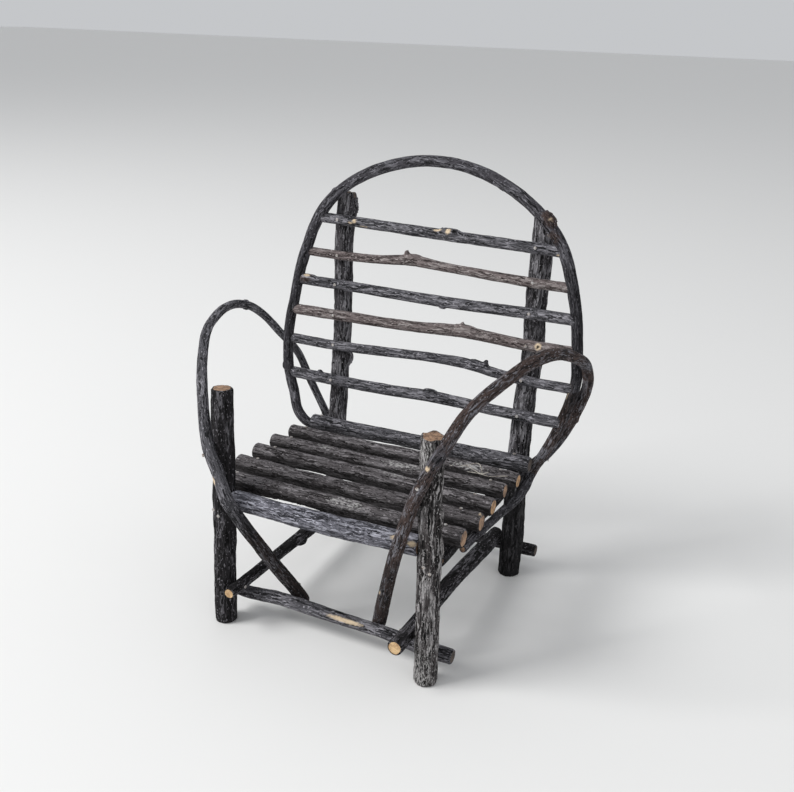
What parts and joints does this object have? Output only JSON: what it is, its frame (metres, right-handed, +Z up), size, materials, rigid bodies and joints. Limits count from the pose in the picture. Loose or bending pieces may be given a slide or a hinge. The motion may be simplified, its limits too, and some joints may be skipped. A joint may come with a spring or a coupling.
{
  "type": "rustic twig armchair",
  "caption": "Small armchair of unpeeled twigs nailed together: slatted seat, bent hoop back with cross slats, and two bent arms over four round legs.",
  "frame": {"origin": "on the floor, under the centre of the bounding box", "axes": "+Z up, -Y the way the chair faces, +X to the right as seen from the front"},
  "size_m": [0.348, 0.2646, 0.3781],
  "materials": {
    "dark_bark": "unpeeled dark charcoal bark with fine furrows",
    "grey_bark": "weathered grey bark with fine lengthwise furrows",
    "brown_bark": "reddish-brown smooth bark",
    "nail_steel": "dull wire nails"
  },
  "bodies": {
    "root": {"front_leg_left": "dark_bark", "front_leg_right": "grey_bark", "back_leg_left": "dark_bark", "back_leg_right": "dark_bark", "seat_rail_left": "dark_bark", "seat_rail_right": "dark_bark", "front_seat_rail": "grey_bark", "seat_slat_1": "grey_bark", "seat_slat_2": "grey_bark", "seat_slat_3": "grey_bark", "seat_slat_4": "grey_bark", "seat_slat_5": "grey_bark", "seat_slat_6": "grey_bark", "back_hoop": "dark_bark", "back_slat_1": "grey_bark", "back_slat_2": "brown_bark", "back_slat_3": "grey_bark", "back_slat_4": "brown_bark", "back_slat_5": "grey_bark", "back_slat_6": "grey_bark", "arm_left": "dark_bark", "arm_right": "brown_bark", "side_stretcher_left": "dark_bark", "side_stretcher_right": "dark_bark", "front_stretcher": "grey_bark", "rear_stretcher": "dark_bark", "back_slat_nails": "nail_steel", "seat_slat_nails": "nail_steel", "seat_rail_nails": "nail_steel", "stretcher_nails": "nail_steel", "arm_nails": "nail_steel"}
  },
  "joints": []
}
